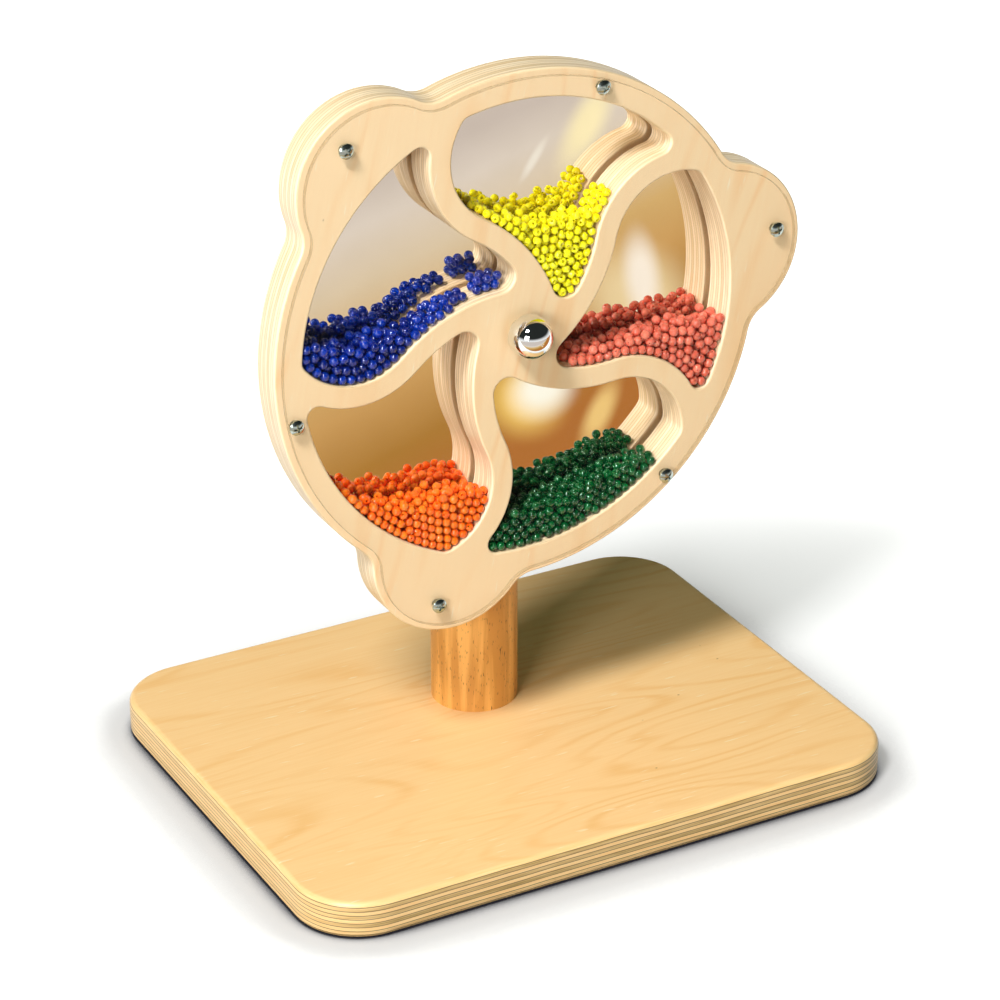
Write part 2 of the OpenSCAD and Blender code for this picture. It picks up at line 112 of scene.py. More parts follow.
def plywood(name, turn, first, ply, face, edge):
    """Rotary-cut birch plywood under clear lacquer: a calm face with flame-like growth lines, and edges
    where plies turn by turn show long grain and darker end grain, with thin glue lines between.
    The turn brings x along the face grain and z through the plies."""
    made, tree, shader = start_material(
        name, Roughness=0.42, IOR=1.5, Coat_Weight=0.12, Coat_Roughness=0.22, Coat_IOR=1.5
    )
    place = add(tree, "TexCoord", {}, {})
    board = add(tree, "Mapping", {}, {"Vector": place.outputs["Object"], "Rotation": turn})
    facing = add(tree, "Mapping", {"vector_type": "VECTOR"}, {
        "Vector": place.outputs["Normal"], "Rotation": turn})
    out = add(tree, "VectorMath", {"operation": "ABSOLUTE"}, {0: facing})
    side = add(tree, "SeparateXYZ", {}, {0: out})
    depth = add(tree, "SeparateXYZ", {}, {0: board})

    # Plies: a slow wander keeps the glue lines from being ruled
    wander_at = add(tree, "Mapping", {}, {"Vector": board, "Scale": per_mm(45, 45, 30)})
    wander = add(tree, "TexNoise", {}, {"Vector": wander_at, "Scale": 1.0, "Detail": 2.0})
    level = add(tree, "Math", {"operation": "MULTIPLY_ADD"}, {
        0: depth.outputs["Z"], 1: 1 / ply, 2: -first / ply})
    level = add(tree, "Math", {"operation": "MULTIPLY_ADD"}, {0: wander.outputs[0], 1: 0.5, 2: level})
    level = add(tree, "Math", {"operation": "SUBTRACT"}, {0: level, 1: 0.25})
    count = add(tree, "Math", {"operation": "FLOOR"}, {0: level})
    parity = add(tree, "Math", {"operation": "FLOORED_MODULO"}, {0: count, 1: 2.0})
    tone = add(tree, "TexWhiteNoise", {"noise_dimensions": "1D"}, {"W": count})
    to_glue = add(tree, "Math", {"operation": "PINGPONG"}, {0: level, 1: 0.5})
    glue = add(tree, "MapRange", {"interpolation_type": "SMOOTHSTEP"}, {
        "Value": to_glue, "From Min": 0.03, "From Max": 0.13, "To Min": 1.0, "To Max": 0.0})
    # Edges facing along x show end grain only by this share; below 1 they are drawn paler, painted light
    across = add(tree, "Math", {"operation": "MULTIPLY"}, {0: side.outputs["X"], 1: edge["across"]})
    end = add(tree, "Mix", {}, {"Factor": parity, "A": across, "B": side.outputs["Y"]})
    streak_at = add(tree, "Mapping", {}, {"Vector": board, "Scale": per_mm(16, 16, 0.5)})
    streak = add(tree, "TexNoise", {}, {"Vector": streak_at, "Scale": 1.0, "Detail": 3.0, "Roughness": 0.6})
    end_tone = add(tree, "Math", {"operation": "MULTIPLY_ADD"}, {0: streak.outputs[0], 1: 1.1, 2: -0.35})
    end_tone = add(tree, "Math", {"operation": "MULTIPLY_ADD"}, {0: tone, 1: 0.5, 2: end_tone})
    end_dark = add(tree, "Math", {"operation": "MULTIPLY", "use_clamp": True}, {0: end, 1: end_tone})
    long_tone = add(tree, "Math", {"operation": "MULTIPLY_ADD", "use_clamp": True}, {
        0: streak.outputs[0], 1: 1.2, 2: -0.25})
    long_colour = add(tree, "Mix", {"data_type": "RGBA"}, {
        "Factor": long_tone, "A": linear(edge["pale"]), "B": linear(edge["warm"])})
    end_colour = add(tree, "Mix", {"data_type": "RGBA"}, {
        "Factor": end_dark, "A": long_colour, "B": linear(edge["end"])})
    glue_share = add(tree, "Math", {"operation": "MULTIPLY"}, {0: glue, 1: edge["glue_share"]})
    edge_colour = add(tree, "Mix", {"data_type": "RGBA"}, {
        "Factor": glue_share, "A": end_colour, "B": linear(edge["glue"])})

    # Face: growth lines are contours of a long smooth field, with fibres, pale flecks and a few pores.
    # Real fibres are finer; here they are as coarse as they need to be to show
    field_at = add(tree, "Mapping", {}, {"Vector": board, "Scale": per_mm(*face["field"])})
    field = add(tree, "TexNoise", {}, {"Vector": field_at, "Scale": 1.0, "Detail": 1.5, "Distortion": 0.5})
    rings = add(tree, "Math", {"operation": "MULTIPLY"}, {0: field.outputs[0], 1: face["rings"]})
    ring = add(tree, "Math", {"operation": "PINGPONG"}, {0: rings, 1: 0.5})
    line = add(tree, "MapRange", {"interpolation_type": "SMOOTHSTEP"}, {
        "Value": ring, "From Min": 0.22, "From Max": 0.5, "To Min": 0.0, "To Max": 1.0})
    fibre_at = add(tree, "Mapping", {}, {"Vector": board, "Scale": per_mm(34, 1.1, 1.1)})
    fibre = add(tree, "TexNoise", {}, {"Vector": fibre_at, "Scale": 1.0, "Detail": 3.0})
    cloud_at = add(tree, "Mapping", {}, {"Vector": board, "Scale": per_mm(90, 30, 30)})
    cloud = add(tree, "TexNoise", {}, {"Vector": cloud_at, "Scale": 1.0, "Detail": 2.0})
    patchy = add(tree, "MapRange", {"interpolation_type": "SMOOTHSTEP"}, {
        "Value": cloud.outputs[0], "From Min": 0.35, "From Max": 0.7, "To Min": 0.1, "To Max": 0.65})
    faded = add(tree, "Math", {"operation": "MULTIPLY"}, {0: line, 1: patchy})
    grain = add(tree, "Math", {"operation": "MULTIPLY_ADD"}, {
        0: fibre.outputs[0], 1: face["fibre"], 2: faded})
    grain = add(tree, "Math", {"operation": "SUBTRACT", "use_clamp": True}, {
        0: grain, 1: 0.4 * face["fibre"]})
    face_colour = add(tree, "Mix", {"data_type": "RGBA"}, {
        "Factor": grain, "A": linear(face["pale"]), "B": linear(face["line"])})
    fleck_at = add(tree, "Mapping", {}, {"Vector": board, "Scale": per_mm(13, 1.6, 1.6)})
    fleck = add(tree, "TexNoise", {}, {"Vector": fleck_at, "Scale": 1.0, "Detail": 1.0})
    flecked = add(tree, "MapRange", {"interpolation_type": "SMOOTHSTEP"}, {
        "Value": fleck.outputs[0], "From Min": 0.68, "From Max": 0.8, "To Min": 0.0, "To Max": 0.8})
    face_colour = add(tree, "Mix", {"data_type": "RGBA"}, {
        "Factor": flecked, "A": face_colour, "B": linear(face["fleck"])})
    speck_at = add(tree, "Mapping", {}, {"Vector": board, "Scale": per_mm(30, 22, 22)})
    speck = add(tree, "TexVoronoi", {}, {"Vector": speck_at, "Scale": 1.0})
    pore = add(tree, "MapRange", {}, {
        "Value": speck.outputs["Distance"],
        "From Min": 0.01, "From Max": 0.025, "To Min": 0.7, "To Max": 0.0})
    face_colour = add(tree, "Mix", {"data_type": "RGBA"}, {
        "Factor": pore, "A": face_colour, "B": linear(face["speck"])})
    is_face = add(tree, "MapRange", {"interpolation_type": "SMOOTHSTEP"}, {
        "Value": side.outputs["Z"], "From Min": 0.75, "From Max": 0.97})
    colour = add(tree, "Mix", {"data_type": "RGBA"}, {"Factor": is_face, "A": edge_colour, "B": face_colour})
    relief = add(tree, "Mix", {}, {"Factor": is_face, "A": streak.outputs[0], "B": fibre.outputs[0]})
    bump = add(tree, "Bump", {}, {"Strength": 0.25, "Distance": 0.15 * MM, "Height": relief})
    tree.links.new(colour.outputs[2], shader.inputs["Base Color"])
    tree.links.new(bump.outputs[0], shader.inputs["Normal"])
    return made


def turned_wood(name, pale, dark, pore, pore_length):
    """Turned hardwood under oil: long vertical streaks and short dark pores along the grain.
    The pores are drawn wider than real ones, as wide as they need to be to show."""
    made, tree, shader = start_material(name, Roughness=0.45, IOR=1.5, Coat_Weight=0.1, Coat_Roughness=0.3)
    place = add(tree, "TexCoord", {}, {})
    streak_at = add(tree, "Mapping", {}, {"Vector": place.outputs["Object"], "Scale": per_mm(7, 7, 120)})
    streak = add(tree, "TexNoise", {}, {"Vector": streak_at, "Scale": 1.0, "Detail": 4.0, "Distortion": 0.4})
    share = add(tree, "MapRange", {"interpolation_type": "SMOOTHSTEP"}, {
        "Value": streak.outputs[0], "From Min": 0.36, "From Max": 0.68})
    fibre_at = add(tree, "Mapping", {}, {"Vector": place.outputs["Object"], "Scale": per_mm(0.8, 0.8, 18)})
    fibre = add(tree, "TexNoise", {}, {"Vector": fibre_at, "Scale": 1.0, "Detail": 2.0})
    mixed = add(tree, "Math", {"operation": "MULTIPLY_ADD", "use_clamp": True}, {
        0: fibre.outputs[0], 1: 0.5, 2: share})
    mixed = add(tree, "Math", {"operation": "SUBTRACT", "use_clamp": True}, {0: mixed, 1: 0.25})
    colour = add(tree, "Mix", {"data_type": "RGBA"}, {"Factor": mixed, "A": linear(pale), "B": linear(dark)})
    pore_at = add(tree, "Mapping", {}, {
        "Vector": place.outputs["Object"], "Scale": per_mm(0.5, 0.5, pore_length)})
    pores = add(tree, "TexNoise", {}, {"Vector": pore_at, "Scale": 1.0, "Detail": 1.0})
    open_pore = add(tree, "MapRange", {"interpolation_type": "SMOOTHSTEP"}, {
        "Value": pores.outputs[0], "From Min": 0.66, "From Max": 0.74})
    colour = add(tree, "Mix", {"data_type": "RGBA"}, {"Factor": open_pore, "A": colour, "B": linear(pore)})
    bump = add(tree, "Bump", {"invert": True}, {"Strength": 0.4, "Distance": 0.2 * MM, "Height": open_pore})
    tree.links.new(colour.outputs[2], shader.inputs["Base Color"])
    tree.links.new(bump.outputs[0], shader.inputs["Normal"])
    return made


def metal(name, colour, worn, roughness, spread, mark):
    """Bright metal with soft wipe marks, which show as a slow change of roughness and tone."""
    made, tree, shader = start_material(name, Metallic=1.0)
    place = add(tree, "TexCoord", {}, {})
    mark_at = add(tree, "Mapping", {}, {"Vector": place.outputs["Object"], "Scale": per_mm(*mark)})
    marks = add(tree, "TexNoise", {}, {"Vector": mark_at, "Scale": 1.0, "Detail": 3.0})
    tone = add(tree, "Mix", {"data_type": "RGBA"}, {
        "Factor": marks.outputs[0], "A": linear(colour), "B": linear(worn)})
    rough = add(tree, "MapRange", {}, {
        "Value": marks.outputs[0], "To Min": roughness - spread, "To Max": roughness + spread})
    tree.links.new(tone.outputs[2], shader.inputs["Base Color"])
    tree.links.new(rough.outputs[0], shader.inputs["Roughness"])
    return made


def plastic(name, colour, shade, grit, **finish):
    """Moulded or sawn plastic: a fine grit in tone and relief."""
    made, tree, shader = start_material(name, **finish)
    place = add(tree, "TexCoord", {}, {})
    grit_at = add(tree, "Mapping", {}, {"Vector": place.outputs["Object"], "Scale": per_mm(*grit)})
    grain = add(tree, "TexNoise", {}, {"Vector": grit_at, "Scale": 1.0, "Detail": 3.0})
    tone = add(tree, "Mix", {"data_type": "RGBA"}, {
        "Factor": grain.outputs[0], "A": linear(colour), "B": linear(shade)})
    bump = add(tree, "Bump", {}, {"Strength": 0.15, "Distance": 0.05 * MM, "Height": grain.outputs[0]})
    tree.links.new(tone.outputs[2], shader.inputs["Base Color"])
    tree.links.new(bump.outputs[0], shader.inputs["Normal"])
    return made


def bead_plastic(name, light, deep, **finish):
    """Polystyrene bead, dyed in the mass and polished: clear to milky, with a small bright glint,
    each bead a little lighter or deeper than the next."""
    made, tree, shader = start_material(
        name, IOR=1.59, Roughness=0.08, Specular_IOR_Level=0.3,
        Coat_Weight=0.3, Coat_Roughness=0.08, Coat_IOR=1.59, **finish
    )
    island = add(tree, "NewGeometry", {}, {})
    place = add(tree, "TexCoord", {}, {})
    cloud_at = add(tree, "Mapping", {}, {"Vector": place.outputs["Object"], "Scale": per_mm(2.2, 2.2, 2.2)})
    cloud = add(tree, "TexNoise", {}, {"Vector": cloud_at, "Scale": 1.0, "Detail": 1.0})
    share = add(tree, "Math", {"operation": "MULTIPLY_ADD", "use_clamp": True}, {
        0: cloud.outputs[0], 1: 0.5, 2: island.outputs["Random Per Island"]})
    share = add(tree, "Math", {"operation": "SUBTRACT", "use_clamp": True}, {0: share, 1: 0.25})
    tone = add(tree, "Mix", {"data_type": "RGBA"}, {"Factor": share, "A": linear(light), "B": linear(deep)})
    tree.links.new(tone.outputs[2], shader.inputs["Base Color"])
    return made


BASE_PLY = 2 * MM
WHEEL_PLY = 2 * MM
# The wheel's face grain leans a little from upright
WHEEL_GRAIN = math.radians(78)

# The base's edges facing along x show little end grain, so they read pale: painted light, after its brightly
# lit left edge
base_plywood = plywood(
    "lacquered_birch_plywood_base", (0, 0, 0), 0, BASE_PLY,
    {"pale": "#FBD094", "line": "#F2BC76", "fleck": "#FDE2B6", "speck": "#8A5A2C",
     "field": (420, 60, 60), "rings": 20, "fibre": 0.8},
    {"pale": "#FFDCA2", "warm": "#F8B664", "end": "#8C7230", "glue": "#55431E", "glue_share": 0.95,
     "across": 0.35},
)
wheel_plywood = plywood(
    "lacquered_birch_plywood_wheel", (math.radians(90), 0, WHEEL_GRAIN), WHEEL_FRONT, WHEEL_PLY,
    {"pale": "#FADAAE", "line": "#F5C690", "fleck": "#FCE9CC", "speck": "#8A6238",
     "field": (300, 70, 70), "rings": 12, "fibre": 0.5},
    {"pale": "#FFEED2", "warm": "#FAD4A0", "end": "#D8B47C", "glue": "#967848", "glue_share": 0.6,
     "across": 1.0},
)
post_hardwood = turned_wood("oiled_hardwood_post", "#FFBE66", "#CE8838", "#6C4014", 3.5)
dowel_beech = turned_wood("beech_dowel", "#EBC79A", "#D9AC78", "#B07C4C", 2)
# Polished chrome gives a clear, nearly white mirror image
hub_chrome = metal("polished_chrome_cap", "#F2F3F3", "#DDE0DF", 0.04, 0.02, (4, 4, 4))
# Zinc plate is a cool grey with a half-gloss
zinc_steel = metal("zinc_plated_steel", "#C6D2CC", "#96A29C", 0.2, 0.08, (1.2, 1.2, 1.2))
# The steel rod is a dull grey with fine marks along its length
axle_steel = metal("turned_steel_axle", "#C3C6C9", "#9EA3A7", 0.28, 0.08, (0.3, 6, 0.3))
# Moulded nylon is a warm white with a satin skin
ivory_nylon = plastic("moulded_ivory_nylon", "#F1E9D4", "#E2D6BA", (0.6, 0.6, 0.6), Roughness=0.42, IOR=1.53)
# Silvering behind acrylic mirrors clearly, a little warm; the paint behind it is a matt grey
mirror_silver = metal("acrylic_mirror_silvering", "#EFEAE2", "#E6E0D6", 0.012, 0.008, (25, 25, 25))
mirror_paint = plastic("grey_paint_on_mirror_back", "#8C8F92", "#7B7E82", (0.8, 0.8, 0.8), Roughness=0.6)
# A sawn acrylic edge is dull and dark against wood; a polished one lets the wood show through. The cover's
# edge is olive brown and half see-through: partly the acrylic's tint, partly painted shade for the shadow
# line in the gap between the cover and the wheel's rim
sheet_edge = plastic("sawn_acrylic_edge", "#8E8058", "#6F6444", (1.5, 1.5, 0.3), Roughness=0.35, IOR=1.49)
cover_edge_painted_shadow = plastic(
    "polished_acrylic_edge_painted_shadow", "#94784A", "#745C36", (1.5, 1.5, 0.3), Roughness=0.2, IOR=1.49, Alpha=0.35
)
# Clear acrylic takes no colour of its own, so its thin veil is dark
clear_acrylic = plastic(
    "clear_acrylic_face", "#565C60", "#4A5054", (30, 30, 30), Roughness=0.03, IOR=1.49, Alpha=0.012
)

for name, finish in {
    "base_board": base_plywood, "post": post_hardwood, "post_dowels": dowel_beech,
    "hub_cap": hub_chrome, "rear_cap": hub_chrome, "axle": axle_steel,
    "post_bolt": zinc_steel, "post_washer": zinc_steel, "front_washer": zinc_steel, "rear_washer": zinc_steel,
    "cover_screws": zinc_steel, "mirror_screws": zinc_steel,
    "spacer": ivory_nylon, "hub_bush": ivory_nylon,
}.items():
    for slot in nodes[name].material_slots:
        slot.material = finish


# Outlines and plates

def face_outlines(name, level):
    """Closed outlines, as (x, z) points, of a node's flat face at y = level: the longest first."""
    mesh = nodes[name].data
    # Corners within two microns are one point
    near = 2e-6
    seen_once = {}
    for face in mesh.polygons:
        corners = [mesh.vertices[i].co for i in face.vertices]
        if max(abs(c.y - level) for c in corners) > near:
            continue
        spots = [(round(c.x / near), round(c.z / near)) for c in corners]
        for a, b in zip(spots, spots[1:] + spots[:1]):
            side = (min(a, b), max(a, b))
            seen_once[side] = side not in seen_once
    following = {}
    for (a, b), once in seen_once.items():
        if once:
            following.setdefault(a, []).append(b)
            following.setdefault(b, []).append(a)
    loops = []
    while following:
        spot = next(iter(following))
        loop = []
        while spot in following:
            loop.append(spot)
            onward = following.pop(spot)
            spot = next((s for s in onward if s in following), None)
        loops.append(np.array(loop) * near)
    return sorted(loops, key=lambda loop: -np.ptp(loop, axis=0).sum())


def area(loop):
    """Signed area of a closed outline, positive when it runs anticlockwise."""
    onward = np.roll(loop, -1, axis=0)
    return 0.5 * np.sum(loop[:, 0] * onward[:, 1] - onward[:, 0] * loop[:, 1])


def smooth_outline(loop, step):
    """The outline through the same points with even short steps, rounded between them."""
    before, after, next_after = np.roll(loop, 1, axis=0), np.roll(loop, -1, axis=0), np.roll(loop, -2, axis=0)
    points = []
    for p0, p1, p2, p3 in zip(before, loop, after, next_after):
        knots = np.cumsum([0] + [math.sqrt(np.linalg.norm(b - a)) for a, b in ((p0, p1), (p1, p2), (p2, p3))])
        slope_1 = (p1 - p0) / knots[1] - (p2 - p0) / knots[2] + (p2 - p1) / (knots[2] - knots[1])
        slope_2 = ((p2 - p1) / (knots[2] - knots[1]) - (p3 - p1) / (knots[3] - knots[1])
                   + (p3 - p2) / (knots[3] - knots[2]))
        span = knots[2] - knots[1]
        count = max(1, round(np.linalg.norm(p2 - p1) / step))
        for t in np.arange(count) / count:
            points.append(
                (2 * t**3 - 3 * t**2 + 1) * p1 + (t**3 - 2 * t**2 + t) * span * slope_1
                + (3 * t**2 - 2 * t**3) * p2 + (t**3 - t**2) * span * slope_2
            )
    return np.array(points)


def leftward(loop):
    """Unit vectors to the left of an outline at each of its points."""
    along = np.roll(loop, -1, axis=0) - np.roll(loop, 1, axis=0)
    along /= np.linalg.norm(along, axis=1)[:, None]
    return np.column_stack((-along[:, 1], along[:, 0]))


def build_mesh(name, points, faces, finishes, finish_of=None):
    """A smooth-shaded mesh object in the frame's own coordinates."""
    mesh = bpy.data.meshes.new(name)
    mesh.from_pydata([tuple(p) for p in points], [], faces)
    for finish in finishes:
        mesh.materials.append(finish)
    mesh.polygons.foreach_set("use_smooth", [True] * len(faces))
    if finish_of is not None:
        mesh.polygons.foreach_set("material_index", finish_of)
    made = bpy.data.objects.new(name, mesh)
    scene.collection.objects.link(made)
    return made


def even_shading(piece):
    """Keeps flat faces flat beside their rounded edges."""
    weighted = piece.modifiers.new("even_shading", "WEIGHTED_NORMAL")
    weighted.weight = 100
    weighted.keep_sharp = True


def plate(name, loops, rows, finishes, cap_finish):
    """A plate from its outlines, the outer one first. Each row is (inset, y, finish of the band below it),
    from the front face to the back face, and both ends are filled."""
    turned = [loop if (area(loop) > 0) == (i == 0) else loop[::-1] for i, loop in enumerate(loops)]
    points, faces, finish_of = [], [], []
    ends = ([], [])
    for loop in turned:
        inward = leftward(loop)
        first = len(points)
        n = len(loop)
        for inset, y, _ in rows:
            points += [(p[0], y, p[1]) for p in loop + inset * inward]
        for r in range(len(rows) - 1):
            for i in range(n):
                a = first + r * n + i
                b = first + r * n + (i + 1) % n
                faces.append((a, b, b + n, a + n))
                finish_of.append(rows[r][2])
        ends[0].append((first, n))
        ends[1].append((first + (len(rows) - 1) * n, n))
    made = build_mesh(name, points, faces, finishes, finish_of)
    shape = bmesh.new()
    shape.from_mesh(made.data)
    shape.verts.ensure_lookup_table()
    for rims, finish in zip(ends, cap_finish):
        edges = []
        for first, n in rims:
            ring = [shape.verts[first + i] for i in range(n)]
            edges += [shape.edges.get((a, b)) for a, b in zip(ring, ring[1:] + ring[:1])]
        filled = bmesh.ops.triangle_fill(shape, use_beauty=True, use_dissolve=False, edges=edges)
        for face in filled["geom"]:
            if isinstance(face, bmesh.types.BMFace):
                face.material_index = finish
                face.smooth = False
    bmesh.ops.recalc_face_normals(shape, faces=shape.faces[:])
    shape.to_mesh(made.data)
    shape.free()
    return made


def eased(front, back, ease, finish, steps=4):
    """Rows of a plate whose edges are rounded over at both faces."""
    turns = [math.pi / 2 * k / steps for k in range(steps + 1)]
    over = [(ease * (1 - math.sin(t)), front + ease * (1 - math.cos(t)), finish) for t in turns]
    under = [(inset, back - (y - front), finish) for inset, y, finish in reversed(over)]
    return over + under


# Wheel frame: one plywood plate with eased edges

OUTLINE_STEP = 1.2 * MM
FRAME_EASE = 0.9 * MM
frame_loops = [smooth_outline(loop, OUTLINE_STEP) for loop in face_outlines("wheel_frame", WHEEL_BACK)]
# Openings wider than this are windows; the rest are holes for the bush and the screws
WINDOW_SPAN = 50 * MM
windows = [loop for loop in face_outlines("wheel_frame", WHEEL_BACK)[1:] if np.ptp(loop[:, 0]) > WINDOW_SPAN]
wheel = plate(
    "wheel_frame_eased", frame_loops, eased(WHEEL_FRONT, WHEEL_BACK, FRAME_EASE, 0),
    [wheel_plywood], (0, 0),
)
even_shading(wheel)
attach(wheel, "wheel")
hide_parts("wheel_frame")

# Front cover: clear acrylic with a polished edge, whose colour carries a painted shadow line

COVER_EASE = 0.25 * MM
# The sheets keep this hair's breadth from the wood
SHEET_GAP = 0.05 * MM
cover_low, cover_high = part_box("front_cover")
cover_loops = [smooth_outline(loop, OUTLINE_STEP) for loop in face_outlines("front_cover", cover_high.y)]
cover = plate(
    "front_cover_clear", cover_loops, eased(cover_low.y, cover_high.y - SHEET_GAP, COVER_EASE, 1, 2),
    [clear_acrylic, cover_edge_painted_shadow], (0, 0),
)
# Clear acrylic throws no shadow to speak of
cover.visible_shadow = False
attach(cover, "wheel")
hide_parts("front_cover")

# Mirror sheet: the silvering lies behind clear acrylic, so the mirror image starts a little behind the frame

MIRROR_SKIN = 2 * MM
MIRROR_LIP = 0.4 * MM
mirror_low, mirror_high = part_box("mirror_sheet")
mirror_loops = [smooth_outline(loop, OUTLINE_STEP) for loop in face_outlines("mirror_sheet", mirror_high.y)]
mirror_rows = [
    (2 * MIRROR_LIP, mirror_low.y + MIRROR_SKIN, 1),
    (MIRROR_LIP, mirror_low.y + SHEET_GAP, 1),
    (COVER_EASE, mirror_low.y + SHEET_GAP, 1),
    (0, mirror_low.y + COVER_EASE, 1),
    (0, mirror_high.y - COVER_EASE, 1),
    (COVER_EASE, mirror_high.y, 1),
]
mirror = plate(
    "mirror_sheet_silvered", mirror_loops, mirror_rows, [mirror_silver, sheet_edge, mirror_paint], (0, 2)
)
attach(mirror, "wheel")
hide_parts("mirror_sheet")


# Beads

# Settling: number of steps, steps between searches for neighbours, fall and shake in each step,
# share of the speed that is kept, share of an overlap that is pushed out at once, distance in bead sizes
# within which beads may meet before the next search, and passes of pushing in each step and at the end
SETTLE_STEPS = 700
PAIR_STEPS = 10
FALL_STEP = 0.02 * MM
SHAKE = 0.06 * MM
SPEED_KEPT = 0.9
PUSH_SHARE = 0.45
NEAR_SIZES = 1.6
STEP_PASSES = 3
END_PASSES = 30
FIRST_SEED = 40


def inside_of(loop, spots):
    """True for each of the spots that lies inside a closed outline."""
    onward = np.roll(loop, -1, axis=0)
    rise = np.where(onward[:, 1] == loop[:, 1], 1, onward[:, 1] - loop[:, 1])
    across = spots[:, None]
    crosses = (loop[:, 1] > across[..., 1]) != (onward[:, 1] > across[..., 1])
    at = loop[:, 0] + (onward[:, 0] - loop[:, 0]) * (across[..., 1] - loop[:, 1]) / rise
    return np.count_nonzero(crosses & (across[..., 0] < at), axis=1) % 2 == 1


def wall_push(spots, wall, reach):
    """Moves (x, z) spots inside an anticlockwise wall until each keeps its reach from it."""
    starts, spans = wall, np.roll(wall, -1, axis=0) - wall
    apart = spots[:, None] - starts[None]
    along = np.clip((apart * spans).sum(2) / (spans**2).sum(1), 0, 1)
    off = apart - along[..., None] * spans
    gap = np.linalg.norm(off, axis=2)
    nearest = gap.argmin(1)
    rows = np.arange(len(spots))
    off, gap, span = off[rows, nearest], gap[rows, nearest], spans[nearest]
    inside = span[:, 0] * off[:, 1] - span[:, 1] * off[:, 0] > 0
    inward = np.column_stack((-span[:, 1], span[:, 0])) / np.linalg.norm(span, axis=1)[:, None]
    signed = np.where(inside, gap, -gap)
    short = np.maximum(reach - signed, 0)
    return spots + short[:, None] * inward


def near_pairs(beads, reach):
    """Index pairs of beads whose centres lie within reach of each other."""
    first, second = np.triu_indices(len(beads), 1)
    close = ((beads[first] - beads[second]) ** 2).sum(1) < reach**2
    return first[close], second[close]


def relax(beads, wall, size, pairs, passes):
    """Pushes overlapping beads apart and keeps them between the walls, the cover and the mirror."""
    first, second = pairs
    for _ in range(passes):
        between = beads[first] - beads[second]
        gap = np.linalg.norm(between, axis=1) + 1e-9
        close = gap < size
        push = between[close] * (PUSH_SHARE * (size - gap[close]) / gap[close])[:, None]
        for axis in range(3):
            beads[:, axis] += np.bincount(first[close], push[:, axis], len(beads))
            beads[:, axis] -= np.bincount(second[close], push[:, axis], len(beads))
        beads[:, 2] = np.clip(beads[:, 2], size / 2, WHEEL_T - size / 2)
    beads[:, :2] = wall_push(beads[:, :2], wall, size / 2)


def settle(wall, count, size, lean, rng):
    """Bead centres (x, z, depth) at rest in a chamber: they start anywhere in it, fall and push apart.
    The lean turns the fall, so that the heap's top rises towards +x by that much per unit."""
    low, high = wall.min(0), wall.max(0)
    spots = rng.uniform(low, high, (8 * count, 2))
    spots = spots[inside_of(wall, spots)][:count]
    beads = np.column_stack((spots, rng.uniform(size / 2, WHEEL_T - size / 2, count)))
    fall = FALL_STEP * np.array([lean, -1, 0]) / math.hypot(lean, 1)
    speed = np.zeros_like(beads)
    for step in range(SETTLE_STEPS):
        if step % PAIR_STEPS == 0:
            pairs = near_pairs(beads, NEAR_SIZES * size)
        before = beads.copy()
        shake = SHAKE * (1 - step / SETTLE_STEPS) ** 2
        beads += SPEED_KEPT * speed + fall + rng.normal(0, shake, beads.shape)
        relax(beads, wall, size, pairs, STEP_PASSES)
        speed = np.clip(beads - before, -size / 4, size / 4)
    return beads


# Faces round a bead, and the smallest bead as a share of the full size
BEAD_SIDES = 14
SMALLEST_BEAD = 0.94


def lathe(profile, sides):
    """Points and faces of a closed ring of (radius, height) profile points turned about z."""
    turns = [2 * math.pi * k / sides for k in range(sides)]
    points = np.array([(r * math.cos(t), r * math.sin(t), h) for t in turns for r, h in profile])
    n = len(profile)
    faces = [
        (k * n + i, (k + 1) % sides * n + i, (k + 1) % sides * n + (i + 1) % n, k * n + (i + 1) % n)
        for k in range(sides) for i in range(n)
    ]
    return points, np.array(faces)


def bead_profile(size, hole, flat, steps=9):
    """Section of a drilled bead: a round outside, flattened at the ends, and a straight hole with eased
    mouths. Points close beside each mouth keep the round outside smooth up to it."""
    radius = size / 2
    start = math.asin(flat) if flat < 1 else math.acos(1.4 * hole / radius)
    beside = 0.05
    angles = [-start, *np.linspace(beside - start, start - beside, steps), start]
    outside = [(radius * math.cos(a), radius * math.sin(a)) for a in angles]
    mouth = 0.3 * hole
    end = outside[-1][1]
    return outside + [(hole + mouth, end), (hole, end - mouth), (hole, mouth - end), (hole + mouth, -end)]


def spin(rng):
    """A random turn as a 3 by 3 matrix."""
    q = rng.normal(size=4)
    w, x, y, z = q / np.linalg.norm(q)
    return np.array([
        [1 - 2 * (y * y + z * z), 2 * (x * y - z * w), 2 * (x * z + y * w)],
        [2 * (x * y + z * w), 1 - 2 * (x * x + z * z), 2 * (y * z - x * w)],
        [2 * (x * z - y * w), 2 * (y * z + x * w), 1 - 2 * (x * x + y * y)],
    ])


def bead_heap(name, node, finish, centres, size, hole, flat, rng):
    """One colour of drilled beads, each turned its own way."""
    shape, faces = lathe(bead_profile(size, hole, flat), BEAD_SIDES)
    points = np.concatenate([
        shape * rng.uniform(SMALLEST_BEAD, 1.0) @ spin(rng).T + (x, WHEEL_BACK - depth, z)
        for x, z, depth in centres
    ])
    all_faces = np.concatenate([faces + k * len(shape) for k in range(len(centres))])
    made = build_mesh(name, points, [tuple(map(int, f)) for f in all_faces], [finish])
    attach(made, "wheel")
    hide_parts(node)
    return made


def chamber_of(node):
    """The window outline round a CAD heap, anticlockwise."""
    spot = nodes[node].data.vertices[0].co
    wall = next(loop for loop in windows if inside_of(loop, np.array([[spot.x, spot.z]]))[0])
    return wall if area(wall) > 0 else wall[::-1]


